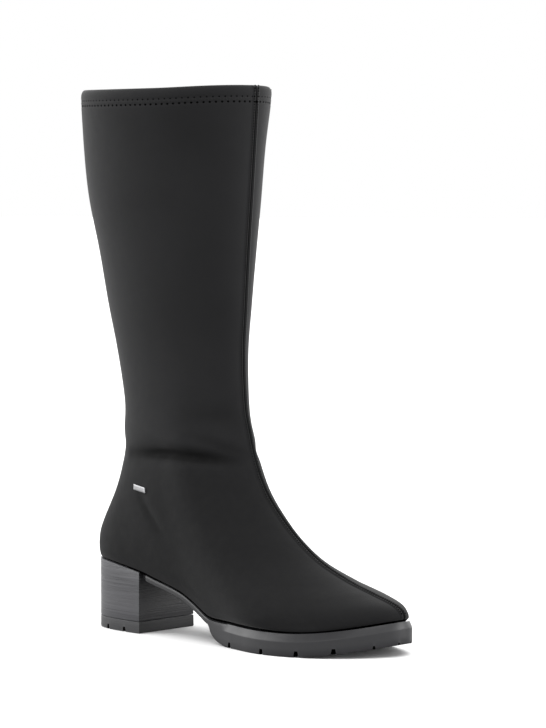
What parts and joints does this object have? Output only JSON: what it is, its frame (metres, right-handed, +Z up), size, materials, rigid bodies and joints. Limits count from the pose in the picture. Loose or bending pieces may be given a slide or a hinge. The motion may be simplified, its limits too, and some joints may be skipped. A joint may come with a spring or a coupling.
{
  "type": "knee-high boot",
  "caption": "Knee-high pull-on boot with a matte stretch upper, centre-front seam, inner side zip, low block heel and thick rubber sole.",
  "frame": {"origin": "middle of the heel's ground face, where the boot stands on the floor", "axes": "+X to the toe, +Y to the medial (inner) side of this right boot, +Z up the shaft"},
  "size_m": [0.2707, 0.1048, 0.3692],
  "materials": {
    "upper_cloth": "matte near-black stretch microfibre with a faint soft sheen",
    "insole_cloth": "matte black textile sock lining",
    "sole_rubber": "semi-gloss dark grey rubber, glossier on its bevel",
    "heel_block": "satin dark grey with fine level grain lines",
    "top_lift_rubber": "satin dark grey rubber",
    "zip_tape_cloth": "matte black woven tape",
    "zip_coil": "satin black nylon coil",
    "zip_metal": "black lacquered metal",
    "tag_metal": "fine brushed steel"
  },
  "bodies": {
    "boot": {"upper": "upper_cloth", "insole": "insole_cloth", "outsole": "sole_rubber", "heel": "heel_block", "top_lift": "top_lift_rubber", "zip_tape": "zip_tape_cloth", "zip_teeth": "zip_coil", "zip_slider": "zip_metal", "metal_tag": "tag_metal"},
    "pull_tab": {"zip_pull": "zip_metal"}
  },
  "joints": [
    {"name": "pull_swing", "type": "hinge", "parent": "boot", "child": "pull_tab", "pos_m": [0.08483, 0.03829, 0.35356], "axis": [0.8213, -0.5488, -0.1559], "range_deg": [0, 115]}
  ]
}
